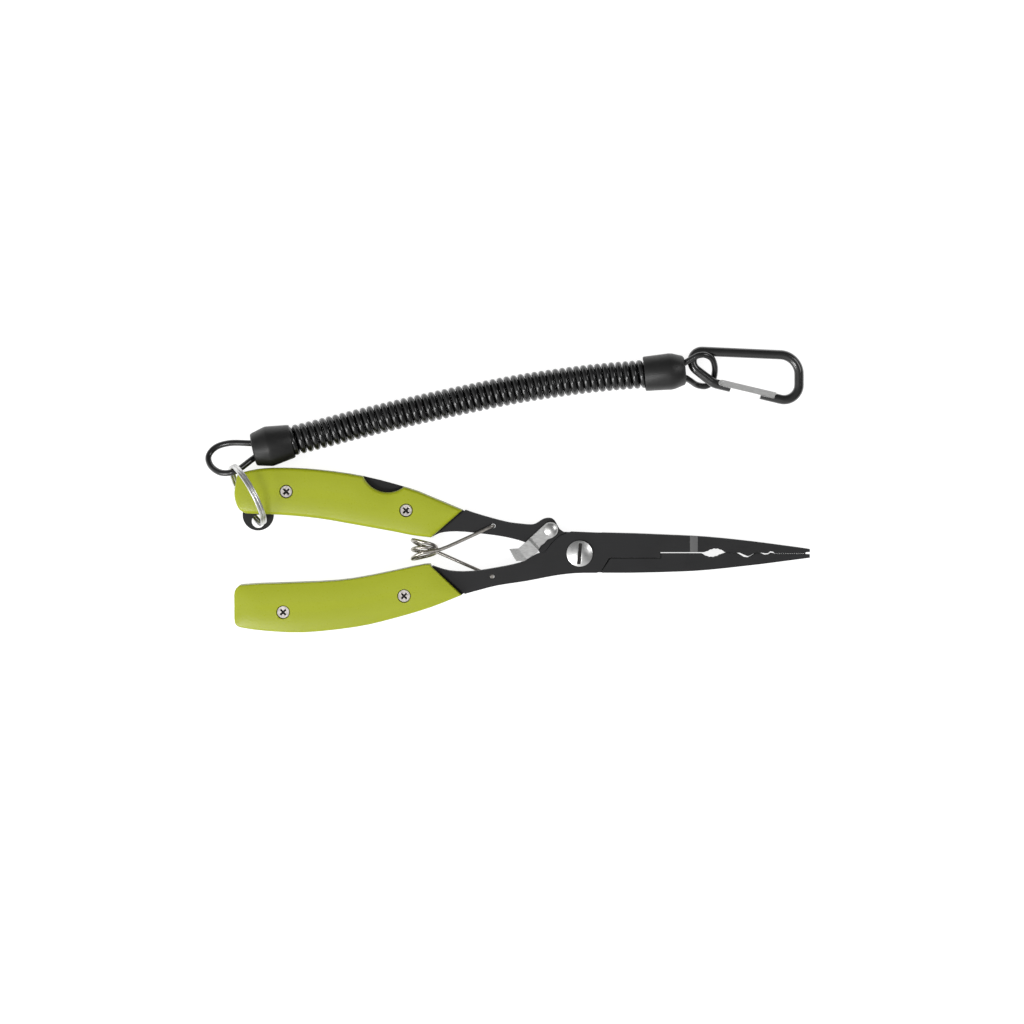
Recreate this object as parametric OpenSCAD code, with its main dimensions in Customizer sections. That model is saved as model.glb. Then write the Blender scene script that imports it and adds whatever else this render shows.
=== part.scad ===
// Long-nosed fishing pliers with grip scales, a latch, a handle spring, a split ring
// and a curly lanyard that ends in a small carabiner. They lie flat on the back scales.

/* [Jaws] */
// Length of the jaws from the pivot to the tip
jaw_l = 79.8; // [70:0.1:96]
// Thickness of the steel halves at the pivot
steel_t = 7; // [5:0.1:8.8]
// Thickness that is left at the tip of the jaws
tip_t = 4.2; // [3:0.1:5]
// Width of the slit behind the leaf-shaped hole
slit_w = 0.5; // [0.3:0.05:0.8]

/* [Pivot] */
// Diameter of the pivot screw's shaft
pivot_d = 5; // [4:0.1:6]
// Diameter of the pivot screw's domed head
pivot_head_d = 9; // [7.5:0.1:11]
// Height of the pivot screw's head
pivot_head_h = 1.6; // [1.2:0.1:2]
// Width of the slot in the head
pivot_slot_w = 1.2; // [0.8:0.1:1.6]
// Diameter of the round nut behind the lap
nut_d = 8.4; // [7:0.1:10]
// Height of the round nut
nut_h = 1.8; // [1.2:0.1:2.2]
// Gap all round the shaft in the half that turns
pivot_clear = 0.05; // [0.02:0.01:0.1]
// Gap between the two halves where they lap
lap_gap = 0.1; // [0.05:0.05:0.3]

/* [Handles] */
// Distance from the pivot to the rear end of the handles
handle_l = 119.4; // [110:0.1:144]
// Thickness of the tangs between the scales
tang_t = 3.8; // [3:0.1:4.6]
// Thickness of each grip scale
scale_t = 4.6; // [3.8:0.1:5.6]
// Diameter of the scale screws' shanks
screw_d = 2.5; // [2:0.1:3]
// Diameter of the scale screws' heads
screw_head_d = 4.2; // [3.8:0.1:5.4]
// Height of the scale screws' heads
screw_head_h = 1.4; // [1:0.1:1.8]
// Depth of the heads below the face of the scale
screw_sink = 0.5; // [0.2:0.1:0.9]
// Gap all round a head in its counterbore
counterbore_gap = 0.25; // [0.2:0.1:0.6]
// Radius of the half-moon thumb notch in the upper scales
notch_r = 9.2; // [7:0.1:11]

/* [Latch] */
// Thickness of the latch's sheet
latch_t = 1.1; // [0.8:0.1:1.5]
// Width of the latch
latch_w = 5.3; // [4.4:0.1:6.4]
// Diameter of the latch rivet's shank
rivet_d = 2.4; // [2:0.1:3]
// Diameter of the latch rivet's head
rivet_head_d = 4.4; // [3.6:0.1:5]

/* [Handle spring] */
// Diameter of the spring wire
wire_d = 1.2; // [1:0.05:1.4]
// Diameter of the spring's coil, to the middle of the wire
spring_d = 8.4; // [6.8:0.1:9.4]

/* [Split ring and lanyard] */
// Outer diameter of the split ring
ring_d = 23.4; // [23:0.1:23.8]
// Width of the two turns of the split ring together
ring_w = 2.1; // [1.6:0.1:2.4]
// Thickness of the split ring's wire across the ring
ring_t = 1.1; // [0.8:0.1:1.3]
// Diameter of the lanyard's cord
cord_d = 2.2; // [1.8:0.1:2.4]
// Outer diameter of the lanyard's curly part
coil_d = 10.4; // [9:0.1:11.6]
// Diameter of the sleeve beside the split ring
ring_sleeve_d = 14; // [12.6:0.1:14.4]
// Diameter of the sleeve beside the carabiner
hook_sleeve_d = 12.7; // [11.6:0.1:14]
// Diameter of the crimps on the cord's ends
crimp_d = 5.2; // [4.6:0.1:5.8]

/* [Carabiner] */
// Diameter of the carabiner's bar
bar_d = 3.3; // [2.8:0.1:3.8]
// Thickness of the gate
gate_t = 2.6; // [2.2:0.1:3]
// Diameter of the gate's hinge pin
gate_pin_d = 1.0; // [0.8:0.05:1.2]

/* [Hidden] */
$fn = 48;

// The pivot's place. The origin is under the middle of the pliers, on the resting surface.
pivot_x = 21;
pivot_y = -2;

// Heights of the layers above the resting surface
tang_z = scale_t;
mid_z = scale_t + tang_t / 2;
steel_z = mid_z - steel_t / 2;
steel_top = mid_z + steel_t / 2;
handle_top = 2 * scale_t + tang_t;
cut = 0.5;
slack = 0.25;

// Lengths stretch only beyond the necks, so the pivot, the latch and the spring stay as they are
function jaw_x(x) = x <= 30 ? x : 30 + (x - 30) * (jaw_l - 30) / (79.8 - 30);
function grip_x(x) = x >= -52 ? x : -52 + (x + 52) * (handle_l - 52) / (119.4 - 52);
function along(p) = [jaw_x(grip_x(p[0])), p[1]];
function mixed(a, b, c, d, t) = 0.5 * (2 * b + (c - a) * t + (2 * a - 5 * b + 4 * c - d) * t * t
    + (3 * b - a - 3 * c + d) * t * t * t);
// A smooth line through the points p, with n steps between two of them
function smooth(p, n = 4) = concat(
    [for (i = [0:len(p) - 2], k = [0:n - 1]) mixed(p[max(i - 1, 0)], p[i], p[i + 1],
        p[min(i + 2, len(p) - 1)], k / n)], [p[len(p) - 1]]);
function placed(p) = [for (q = p) along(q)];
function flipped(p) = [for (q = p) [q[0], -q[1]]];
function backwards(p) = [for (i = [len(p) - 1:-1:0]) p[i]];
// Points moved straight away from the pivot by d
function pushed(p, d) = [for (q = p) q * (1 + d / norm(q))];
function unit(v) = v / norm(v);
function deg(v) = atan2(v[1], v[0]);
function turned(p, a) = [p[0] * cos(a) - p[1] * sin(a), p[0] * sin(a) + p[1] * cos(a)];

module at_pivot() translate([pivot_x, pivot_y, 0]) children();
module slab(z, h) translate([0, 0, z]) linear_extrude(h) children();
module drill(p, d, z, h) translate([p[0], p[1], z]) cylinder(d = d, h = h);

// ---- the two steel halves ----

// The round shoulder of the front lap, from the lower neck up to the upper jaw
shoulder = smooth([[-14.2, 0.1], [-12, 0.6], [-10.2, 2.8], [-8.4, 4.75], [-6.3, 6.3], [-2.8, 7.6]]);
lap_corner = [7.3, 6.2];
lap_nose = [10.2, 1.45];
lap_end = 28;
part_y = 0.2;

// The lower edge of the upper jaw and the upper edge of the lower jaw, from the slit to the tip
teeth_n = 14;
leaf_x0 = 42.4;
leaf_x1 = 50.6;
leaf_n = 12;
function leaf(k) = leaf_x0 + (leaf_x1 - leaf_x0) * k / leaf_n;
function leaf_edge(k, from, to, h) = let (t = (k / leaf_n - from) / (to - from))
    t <= 0 || t >= 1 ? 0 : h * sin(180 * t) + (k % 2 == 0 ? 0.14 : -0.05);
upper_bite = concat([[lap_end, part_y + slit_w / 2], [leaf_x0, part_y + slit_w / 2]],
    [for (k = [1:leaf_n - 1]) [leaf(k), part_y + slit_w / 2 + leaf_edge(k, 0.14, 1, 1.2)]],
    [[leaf_x1, part_y + 0.06], [55.4, part_y + 0.06], [57.9, -0.85], [58.5, -0.95],
        [60.9, part_y + 0.06], [62.9, part_y + 0.06], [64.3, 0.02], [65.3, 0.1],
        [66.1, 0.75], [67.3, 0.5]],
    [for (k = [0:teeth_n - 1], s = [0, 0.5])
        [67.6 + (78.2 - 67.6) * (k + s) / teeth_n, s == 0 ? 0.12 : -0.16]],
    [[78.3, 0.12], [78.4, 0.42], [79.8, 0.5]]);
lower_bite = concat([[lap_end, part_y - slit_w / 2], [leaf_x0, part_y - slit_w / 2]],
    [for (k = [1:leaf_n - 1]) [leaf(k), part_y - slit_w / 2 - leaf_edge(k, 0, 0.86, 1.2)]],
    [[leaf_x1, part_y - 0.06], [54.7, part_y - 0.06], [57.2, -1.3], [58.5, -1.45],
        [61.2, part_y - 0.06], [62.9, part_y - 0.06], [64.2, -0.5], [65.5, -0.42],
        [66.3, 0.18], [67.3, 0.05]],
    [for (k = [0:teeth_n - 1], s = [0, 0.5])
        [67.6 + (78.2 - 67.6) * (k + s) / teeth_n, s == 0 ? -0.04 : -0.32]],
    [[78.3, -0.04], [78.4, -0.28], [79.8, -0.34]]);

upper_jaw_top = smooth([[-2.8, 7.6], [5.6, 7.25], [18.4, 6.94], [31.3, 6.42], [44.1, 5.76],
    [58.4, 4.34], [73.4, 2.43], [79.8, 1.5]], 3);
lower_jaw_low = smooth([[-1.4, -6.6], [5.9, -6.65], [18.4, -6.66], [31.3, -6.35], [44, -5.7],
    [63.3, -3.64], [79.8, -1.5]], 3);
upper_neck_top = smooth([[-39.5, 15.1], [-34.4, 13.4], [-25.5, 11], [-20.6, 10.3], [-16.9, 10],
    [-15, 10.4], [-12.6, 11.9], [-10.3, 12.3], [-8.6, 11.4], [-7, 8.6], [-5.4, 7.4]], 3);
upper_neck_low = smooth([[-51, 5.4], [-48.4, 7.1], [-42.4, 7.7], [-33.8, 6.9], [-26.5, 5.9],
    [-20.6, 4.5], [-17, 3], [-14.2, 1]], 3);
lower_neck_top = smooth([[-51, -4.2], [-45, -6], [-37.4, -6.2], [-28.5, -4.9], [-20.6, -3.2],
    [-16.9, -1.25], [-14.2, 0.1]], 3);
lower_neck_low = smooth([[-39.7, -14], [-35, -12.7], [-28.2, -11], [-18.4, -9.5], [-8.7, -7.65],
    [-1.4, -6.8], [5.9, -6.7]], 3);

// Outlines of the scales, which are also the outlines of the tangs
upper_grip_top = [[-118.1, 27.7], [-112, 29.2], [-103, 29.7], [-90.2, 29], [-74.5, 26.7],
    [-58.7, 22.5], [-51, 19.5], [-40.5, 15.1]];
upper_grip_low = [[-51.4, 5.6], [-58, 6.4], [-64.5, 7.7], [-77.3, 10], [-90.2, 12.2], [-103, 13.4],
    [-115.4, 13.9]];
upper_grip_end = [[-115.4, 13.9], [-117.6, 15.2], [-118.9, 17.8], [-119.4, 21], [-118.8, 25.5],
    [-118.1, 27.7]];
lower_grip_top = [[-117.6, -10.9], [-110, -10.4], [-103, -10.2], [-83.8, -9.3], [-70.9, -7.3],
    [-53.6, -3.7], [-51.4, -4.3]];
lower_grip_low = [[-40.8, -14.3], [-51.7, -18.6], [-64.5, -22.4], [-77.3, -25.3], [-95.3, -27.2],
    [-109.4, -26.6], [-117.2, -25.5]];
lower_grip_end = [[-117.2, -25.5], [-119.2, -24], [-119.4, -18], [-119.3, -13], [-117.6, -10.9]];
// Where the tangs run on inside the steel of the necks
upper_root = [[-37.5, 12.8], [-42, 10.8], [-45, 9.2]];
lower_root = [[-45, -8.2], [-42, -10.5], [-38, -12.3]];

module upper_grip(root = []) polygon(placed(concat(smooth(upper_grip_end, 3),
    smooth(upper_grip_top, 3), root, smooth(upper_grip_low, 3))));
module lower_grip(root = []) polygon(placed(concat(smooth(lower_grip_end, 3),
    smooth(lower_grip_top, 3), root, smooth(lower_grip_low, 3))));

upper_screws = placed([[-101.4, 21.5], [-60, 15]]);
lower_screws = placed([[-102.5, -20.2], [-60.7, -14.6]]);
wire_gap = 0.4;
upper_wire_hole = [-29.9, 9.5];
lower_wire_hole = [-30.3, -8.05];
rivet_at = [-10.1, 8.3];
tab_at = placed([[-111.4, 13.3]])[0];
tab_r = 5.4;
tab_t = 1.6;
tab_hole_d = 4.6;
tab_hole_at = tab_at + [0, -2.2];
// The split ring's place and how it leans, and the channel for it in the back scale
ring_heading = 117.3;
ring_rise = 3.2;
ring_lean = -75.8;
ring_at = [tab_at[0] - 3.44, tab_at[1] + 7.04, 11.65];
channel_w = ring_w + 1.4;
channel_h = 4;

// What the other half's lap needs, at the front. Its mirror image serves at the back.
module lap_pocket() polygon(concat(pushed(shoulder, slack),
    [[-2.6, 14], [lap_end + 0.25, 14], [lap_end + 0.25, -1.7], [10.65, -1.7], [7.85, -5.95],
        [7.6, -14], [-20, -14], [-20, -4.5], [-16.9, -1]]));

module upper_outline() polygon(concat(upper_neck_top, [[0, 7.2], [5, 6.9], lap_corner, lap_nose,
    [lap_end, 1.45]], placed(lower_bite), backwards(placed(lower_jaw_low)),
    backwards(flipped(pushed(shoulder, -0.6))), backwards(upper_neck_low)));
module lower_outline() polygon(concat(lower_neck_top, shoulder, placed(upper_jaw_top),
    backwards(placed(upper_bite)), flipped([[lap_end, 1.45], lap_nose, lap_corner]),
    backwards(lower_neck_low)));

// A wedge that thins a jaw from x0 to its tip at one face. kink is where a facet begins.
module face_taper(x0, kink, low) translate([0, 20, 0]) rotate([90, 0, 0]) linear_extrude(40)
    polygon([[jaw_x(x0), steel_t / 2], [jaw_x(x0 + 2.7), steel_t / 2 - kink],
        [jaw_l + 1, tip_t / 2], [jaw_l + 1, steel_t], [jaw_x(x0), steel_t]]);
module both_tapers(x0, kink) {
    translate([0, 0, mid_z]) face_taper(x0, kink);
    translate([0, 0, mid_z]) mirror([0, 0, 1]) face_taper(36, 0.1);
}

module upper_half() at_pivot() color([0.17, 0.17, 0.17]) difference() {
    union() {
        slab(steel_z, steel_t) upper_outline();
        slab(tang_z, tang_t) upper_grip(upper_root);
        drill(tab_at, 2 * tab_r, mid_z - tab_t / 2, tab_t);
    }
    slab(mid_z - lap_gap / 2, steel_t) lap_pocket();
    both_tapers(36.5, 0.1);
    drill([0, 0], pivot_d, steel_z - cut, steel_t);
    drill(rivet_at, rivet_d, steel_z - cut, steel_t + 2 * cut);
    drill(upper_wire_hole, wire_d + wire_gap, steel_z - cut, steel_t + 2 * cut);
    drill(tab_hole_at, tab_hole_d, mid_z - tab_t, 2 * tab_t);
    for (p = upper_screws) drill(p, screw_d + 0.2, tang_z - cut, tang_t + 2 * cut);
}

module lower_half() at_pivot() color([0.19, 0.19, 0.19]) difference() {
    union() {
        slab(steel_z, steel_t) lower_outline();
        slab(tang_z, tang_t) lower_grip(lower_root);
    }
    slab(mid_z + lap_gap / 2 - steel_t, steel_t) mirror([0, 1]) lap_pocket();
    both_tapers(38.2, 0.45);
    drill([0, 0], pivot_d + 2 * pivot_clear, mid_z - cut, steel_t);
    drill(lower_wire_hole, wire_d + wire_gap, steel_z - cut, steel_t + 2 * cut);
    for (p = lower_screws) drill(p, screw_d + 0.2, tang_z - cut, tang_t + 2 * cut);
}

// ---- pivot ----

nut_bore_gap = 0.05;

module pivot_screw() at_pivot() color([0.8, 0.8, 0.8]) difference() {
    union() {
        drill([0, 0], pivot_d - 0.04, steel_z - nut_h + 0.4, steel_t + nut_h);
        translate([0, 0, steel_top + 0.05]) rotate_extrude() intersection() {
            translate([0, pivot_head_h - 10]) circle(r = 10, $fn = 96);
            square([pivot_head_d / 2, pivot_head_h]);
        }
    }
    translate([0, 0, steel_top + pivot_head_h]) rotate([0, 0, 86])
        cube([pivot_head_d + 2, pivot_slot_w, 1.3], center = true);
}

module pivot_nut() at_pivot() color([0.75, 0.75, 0.75]) difference() {
    drill([0, 0], nut_d, steel_z - nut_h - 0.05, nut_h);
    drill([0, 0], pivot_d + 2 * nut_bore_gap, steel_z - nut_h - 1, nut_h + 2);
    translate([0, 0, steel_z - nut_h]) cube([nut_d + 2, pivot_slot_w, 0.9], center = true);
}

// ---- latch ----

// The latch is drawn from its rivet, along its own length
latch_turn = 222.4;
latch_z = steel_top + 0.15;
latch_step = 0.9;
latch_l = 12.5;

module latch_plan() {
    circle(d = latch_w);
    polygon([[0, -latch_w / 2], [latch_l, -latch_w / 2], [15, -4.7], [16.1, -0.1], [13.9, 1.9],
        [8.4, latch_w / 2 + 0.1], [7.6, 2.3], [6.2, 1.85], [4.9, 2.05], [3, 1.85], [1.5, 2.5],
        [0, latch_w / 2]]);
}
module latch_side() polygon([[-4, 0], [7.3, 0], [8.3, latch_step], [13, latch_step],
    [16.8, latch_step + 2.6], [16.8, latch_step + 3.9], [12.7, latch_step + latch_t],
    [8, latch_step + latch_t], [7, latch_t], [-4, latch_t]]);

module lock_latch() at_pivot() color([0.62, 0.62, 0.62]) difference() {
    translate([rivet_at[0], rivet_at[1], latch_z]) rotate([0, 0, latch_turn]) intersection() {
        linear_extrude(6) latch_plan();
        translate([0, 8, 0]) rotate([90, 0, 0]) linear_extrude(16) latch_side();
    }
    drill(rivet_at, rivet_d + 0.1, latch_z - cut, latch_t + 2 * cut);
}

module latch_rivet() at_pivot() color([0.8, 0.8, 0.8]) {
    drill(rivet_at, rivet_d - 0.04, steel_z, latch_z + latch_t + 0.2 - steel_z);
    translate([rivet_at[0], rivet_at[1], latch_z + latch_t + 0.1]) rotate_extrude() intersection() {
        translate([0, 0.8 - 4]) circle(r = 4, $fn = 96);
        square([rivet_head_d / 2, 0.8]);
    }
}

// ---- handle spring ----

// A tube of radius r along the points p. The frame is carried from ring to ring.
function tangent(p, i) = unit(p[min(i + 1, len(p) - 1)] - p[max(i - 1, 0)]);
function carried(p, i, n) = i >= len(p) ? [] :
    let (t = tangent(p, i), m = unit(n - t * (n * t))) concat([m], carried(p, i + 1, m));
module tube(p, r, sides = 8, first = [0, 0, 1]) {
    n = carried(p, 0, first);
    last = len(p) - 1;
    polyhedron([for (i = [0:last], k = [0:sides - 1]) let (t = tangent(p, i), a = 360 * k / sides)
        p[i] + r * (cos(a) * n[i] + sin(a) * cross(t, n[i]))],
        concat([[for (k = [0:sides - 1]) k]], [for (i = [0:last - 1], k = [0:sides - 1])
            let (j = (k + 1) % sides) [i * sides + k, (i + 1) * sides + k,
                (i + 1) * sides + j, i * sides + j]],
            [[for (k = [sides - 1:-1:0]) last * sides + k]]), convexity = 8);
}

front_leg_z = steel_top + wire_d / 2 + 0.2;
back_leg_z = steel_z - wire_d / 2 - 0.2;
// The coil's axis lies across the handles, and its turns fan out away from the jaws
spring_turns = 2.5;
spring_steps = 22;
spring_at = [-53.8, 1.3];
spring_fan = 8;
spring_slant = 0.9;
function spring_point(t) = let (a = -90 - 360 * spring_turns * t,
    f = 0.4 + 0.6 * pow((1 - cos(a)) / 2, 2))
    [spring_at[0] + spring_d / 2 * cos(a),
        spring_at[1] + (0.5 - t) * spring_fan * f + spring_slant * sin(a),
        mid_z + (front_leg_z - back_leg_z) / 2 * sin(a)];
spring_path = concat(
    [[lower_wire_hole[0], lower_wire_hole[1], steel_top - 0.3],
        [lower_wire_hole[0], lower_wire_hole[1], steel_z + 0.2],
        [lower_wire_hole[0] - 0.35, lower_wire_hole[1] + 0.1, steel_z - 0.45],
        [lower_wire_hole[0] - 1.4, lower_wire_hole[1] + 0.5, back_leg_z],
        [-40, -3.85, back_leg_z], [-48, -0.3, back_leg_z]],
    [for (i = [0:spring_turns * spring_steps]) spring_point(i / (spring_turns * spring_steps))],
    [[-48, 1.5, front_leg_z], [-40, 4.95, front_leg_z],
        [upper_wire_hole[0] - 1.4, upper_wire_hole[1] - 0.5, front_leg_z],
        [upper_wire_hole[0] - 0.35, upper_wire_hole[1] - 0.1, steel_top + 0.45],
        [upper_wire_hole[0], upper_wire_hole[1], steel_top - 0.2],
        [upper_wire_hole[0], upper_wire_hole[1], steel_top - 2.5]]);

module handle_spring() at_pivot() color([0.75, 0.74, 0.7])
    tube(spring_path, wire_d / 2, 8, [0, 1, 0]);

// ---- scales, their screws and barrel nuts ----

head_z = handle_top - screw_sink - screw_head_h;
barrel_d = screw_d + 1.4;
notch_at = placed([[-66.4, 30.4]])[0];

module thumb_notch() translate([notch_at[0], notch_at[1], -cut])
    cylinder(r = notch_r, h = handle_top + 2 * cut);
module front_scale(screws) difference() {
    slab(tang_z + tang_t, scale_t) children();
    for (p = screws) {
        drill(p, screw_d + 0.3, tang_z, handle_top);
        drill(p, screw_head_d + 2 * counterbore_gap, head_z - 0.05, handle_top);
    }
}
module back_scale(screws) difference() {
    slab(0, scale_t) children();
    for (p = screws) {
        drill(p, barrel_d + 0.2, -cut, scale_t + 2 * cut);
        drill(p, screw_head_d + 2 * counterbore_gap, -cut, cut + screw_sink + screw_head_h + 0.05);
    }
}
module upper_front_scale() at_pivot() color([0.65, 0.68, 0.2]) difference() {
    front_scale(upper_screws) upper_grip();
    thumb_notch();
}
// The channel for the split ring behind the rear end of the upper handle
module ring_channel() translate([ring_at[0], ring_at[1], 0]) rotate([0, 0, ring_heading])
    translate([-15, 2.73 - channel_w / 2, -cut]) cube([30, channel_w, channel_h + cut]);
module upper_back_scale() at_pivot() color([0.65, 0.68, 0.2]) difference() {
    back_scale(upper_screws) upper_grip();
    thumb_notch();
    ring_channel();
}
module lower_front_scale() at_pivot() color([0.65, 0.68, 0.2])
    front_scale(lower_screws) lower_grip();
module lower_back_scale() at_pivot() color([0.65, 0.68, 0.2])
    back_scale(lower_screws) lower_grip();

// A cross-recessed screw from the front, and the barrel nut that it turns into from the back
module scale_screw(p) difference() {
    union() {
        drill(p, screw_d, screw_sink + screw_head_h - 0.4, head_z + 0.5 - screw_sink - screw_head_h);
        drill(p, screw_head_d, head_z, screw_head_h);
    }
    for (a = [45, 135]) translate([p[0], p[1], head_z + screw_head_h]) rotate([0, 0, a])
        cube([screw_head_d * 0.62, 0.6, 1.6], center = true);
}
module barrel_nut(p) difference() {
    union() {
        drill(p, screw_head_d, screw_sink, screw_head_h);
        drill(p, barrel_d, screw_sink, scale_t - screw_sink);
    }
    drill(p, screw_d + 0.1, screw_sink + 1, scale_t);
    translate([p[0], p[1], screw_sink]) cube([screw_head_d + 1, 0.8, 1.2], center = true);
}
module upper_scale_screws() at_pivot() color([0.6, 0.57, 0.55])
    for (p = upper_screws) scale_screw(p);
module lower_scale_screws() at_pivot() color([0.6, 0.57, 0.55])
    for (p = lower_screws) scale_screw(p);
module upper_scale_nuts() at_pivot() color([0.6, 0.57, 0.55])
    for (p = upper_screws) barrel_nut(p);
module lower_scale_nuts() at_pivot() color([0.6, 0.57, 0.55])
    for (p = lower_screws) barrel_nut(p);

// ---- split ring ----

// The ring leans through the tab's hole and round the end of the scales
module split_ring() at_pivot() color([0.75, 0.75, 0.75]) translate(ring_at)
    rotate([0, 0, ring_heading]) rotate([0, -ring_rise, 0]) rotate([ring_lean, 0, 0])
        rotate_extrude($fn = 96) translate([ring_d / 2 - ring_t, -ring_w / 2])
            square([ring_t, ring_w]);

// ---- lanyard ----

// Each sleeve is drawn from its loop end. Its axis lies level.
ring_sleeve_at = [-113.1, 35.9, ring_sleeve_d / 2];
ring_sleeve_turn = 12.5;
ring_sleeve_l = 13.8;
hook_sleeve_at = [36.7, 63.5, hook_sleeve_d / 2];
hook_sleeve_turn = 185.2;
hook_sleeve_l = 14.3;
sleeve_wall = 2.5;
mouth_l = 3;
slot_gap = 0.9;
crimp_l = 4.4;
crimp_from = 4.6;

// Round-number route of the loop through the split ring, from crimp to crimp
ring_loop_route = [[-109, 38.3, 7], [-111.6, 38, 7], [-115, 38.2, 6.6], [-121.4, 38.2, 5.2],
    [-126.3, 36.7, 4.8], [-128.7, 33.6, 5.8], [-127.6, 30.2, 8], [-124, 28, 10.8],
    [-119.3, 28.4, 12.1], [-115.4, 31, 9.8], [-112.7, 33.5, 7.4], [-110.8, 34.9, 7],
    [-108.5, 35.7, 7]];
// Round-number route of the loop through the carabiner
hook_loop_route = [[32.3, 64.3, 6.35], [34.6, 64.7, 6.35], [37, 66, 6.8], [39.8, 68.1, 7.9],
    [43, 68.8, 7.7], [45.8, 67.6, 6.2], [46.9, 65.2, 4.3], [47, 62.4, 2.4], [46.2, 59.6, 1.2],
    [44, 58, 1.12], [41, 58.4, 1.7], [38.5, 59.9, 4.2], [36.7, 60.9, 5.8], [34.6, 61.6, 6.3],
    [32.5, 61.9, 6.35]];
// Round-number line along the middle of the curly part
coil_route = [[-99.1, 39.15, 6.85], [-96, 39.9, 6.6], [-86, 42.4, 5.7], [-77.2, 44.7, 5.3],
    [-58.4, 49.2, 5.3], [-39.7, 53.3, 5.3], [-21, 57, 5.3], [-2.2, 59.8, 5.3], [10.3, 61.2, 5.6],
    [19, 61.9, 6.3], [25.1, 62.45, 6.35]];

module sleeve(d, l, turn, at, nose_r, mouth_r, end_r) difference() {
    translate(at) rotate([0, 0, turn]) rotate([0, 90, 0]) rotate_extrude() difference() {
        polygon([[0, 0], [nose_r - 0.8, 0], [nose_r, 0.8], [d / 2, 5.5], [d / 2 - 0.1, 6.5],
            [end_r, l], [0, l]]);
        translate([0, sleeve_wall]) square([crimp_d / 2 + 0.6, l - sleeve_wall - mouth_l - 1.5]);
        translate([0, l - mouth_l]) square([mouth_r, mouth_l + 1]);
    }
    // The slot that the two strands of the loop pass through
    translate(at) rotate([0, 0, turn]) translate([-1, -nose_r, -cord_d / 2 - slot_gap])
        cube([sleeve_wall + 2, 2 * nose_r, cord_d + 2 * slot_gap]);
}
module crimp(turn, at) translate(at) rotate([0, 0, turn]) translate([crimp_from, 0, 0])
    rotate([0, 90, 0]) cylinder(d = crimp_d, h = crimp_l);

module ring_loop() at_pivot() color([0.1, 0.1, 0.1])
    tube(smooth(ring_loop_route, 2), cord_d / 2);
module ring_crimp() at_pivot() color([0.7, 0.7, 0.7]) crimp(ring_sleeve_turn, ring_sleeve_at);
module ring_sleeve() at_pivot() color([0.15, 0.15, 0.15])
    sleeve(ring_sleeve_d, ring_sleeve_l, ring_sleeve_turn, ring_sleeve_at, 5.7, 4.4, 5.75);
module lanyard_coil() at_pivot() color([0.07, 0.07, 0.07])
    tube(smooth(coil_route, 1), coil_d / 2, 12);
module hook_sleeve() at_pivot() color([0.17, 0.17, 0.17])
    sleeve(hook_sleeve_d, hook_sleeve_l, hook_sleeve_turn, hook_sleeve_at, 5.4, coil_d / 2 + 0.35,
        coil_d / 2 + 0.75);
module hook_crimp() at_pivot() color([0.7, 0.7, 0.7]) crimp(hook_sleeve_turn, hook_sleeve_at);
module hook_loop() at_pivot() color([0.1, 0.1, 0.1])
    tube(smooth(hook_loop_route, 2), cord_d / 2);

// ---- carabiner ----

// Corners of the bar's centre line, each with the radius of its bend
bar_corners = [[39, 70.2], [76.4, 68.6], [76.4, 51.9], [46.6, 58.9], [39, 64.7]];
bar_bends = [3.4, 6.8, 5.2, 6, 4];
bar_tilt = 4.6;
function side(i) = unit(bar_corners[(i + 1) % 5] - bar_corners[i]);
function turn_at(i) = acos(side((i + 4) % 5) * side(i));
function tangent_l(i) = bar_bends[i] * tan(turn_at(i) / 2);
// Places in the gate's own frame, which starts at the lower left corner and runs along the bar
gate_s0 = 2.4;
gate_end = 22.2;
lip_left = 5.9;
lip_right = 16.8;
hinge_n = 0.75;
tongue_t = 1.1;

module on_bar() translate([76.4, 0, bar_d / 2 + 0.07]) rotate([0, bar_tilt, 0])
    translate([-76.4, 0, 0]) children();
module on_gate() on_bar() translate([bar_corners[3][0], bar_corners[3][1], 0])
    rotate([0, 0, deg(side(2) * -1)]) children();

// Points round the bend at corner i, clockwise
function bend(i, n = 6) = let (c = bar_corners[i] + side(i) * tangent_l(i)
    + turned(side(i), -90) * bar_bends[i], a = deg(turned(side(i), 90)), w = turn_at(i))
    [for (k = [0:n]) c + bar_bends[i] * [cos(a + w * (n - k) / n), sin(a + w * (n - k) / n)]];
bar_path = concat([bar_corners[3] - side(2) * lip_left], bend(3, 3), bend(4, 3), bend(0), bend(1),
    bend(2), [bar_corners[3] - side(2) * lip_right]);

module carabiner_body() at_pivot() color([0.1, 0.1, 0.1]) difference() {
    union() {
        difference() {
            on_bar() tube([for (q = bar_path) [q[0], q[1], 0]], bar_d / 2, 12);
            on_gate() translate([1, -0.35, -5]) cube([gate_end - 0.6, 6, 10]);
        }
        on_gate() translate([0.6, -0.4, -tongue_t / 2]) cube([gate_s0 + 0.2, hinge_n + 1.3, tongue_t]);
    }
    on_gate() translate([gate_s0, hinge_n, -5]) cylinder(d = gate_pin_d + 0.04, h = 10);
}

module carabiner_gate() at_pivot() color([0.77, 0.77, 0.76]) on_gate() difference() {
    union() {
        translate([gate_s0, hinge_n, -gate_t / 2]) cylinder(d = 2.1, h = gate_t);
        translate([gate_s0, hinge_n - 0.95, -gate_t / 2])
            cube([gate_end - gate_s0 - 0.4, 2.1, gate_t]);
    }
    translate([gate_s0 - 2, hinge_n - 3, -tongue_t / 2 - 0.15]) cube([4, 6, tongue_t + 0.3]);
    translate([gate_s0, hinge_n, -5]) cylinder(d = gate_pin_d + 0.1, h = 10);
    translate([gate_s0 + 1, hinge_n, 0]) rotate([0, 90, 0]) cylinder(d = 0.9, h = 10);
}

module gate_pin() at_pivot() color([0.7, 0.7, 0.7]) on_gate()
    translate([gate_s0, hinge_n, -gate_t / 2]) cylinder(d = gate_pin_d, h = gate_t);

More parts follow.
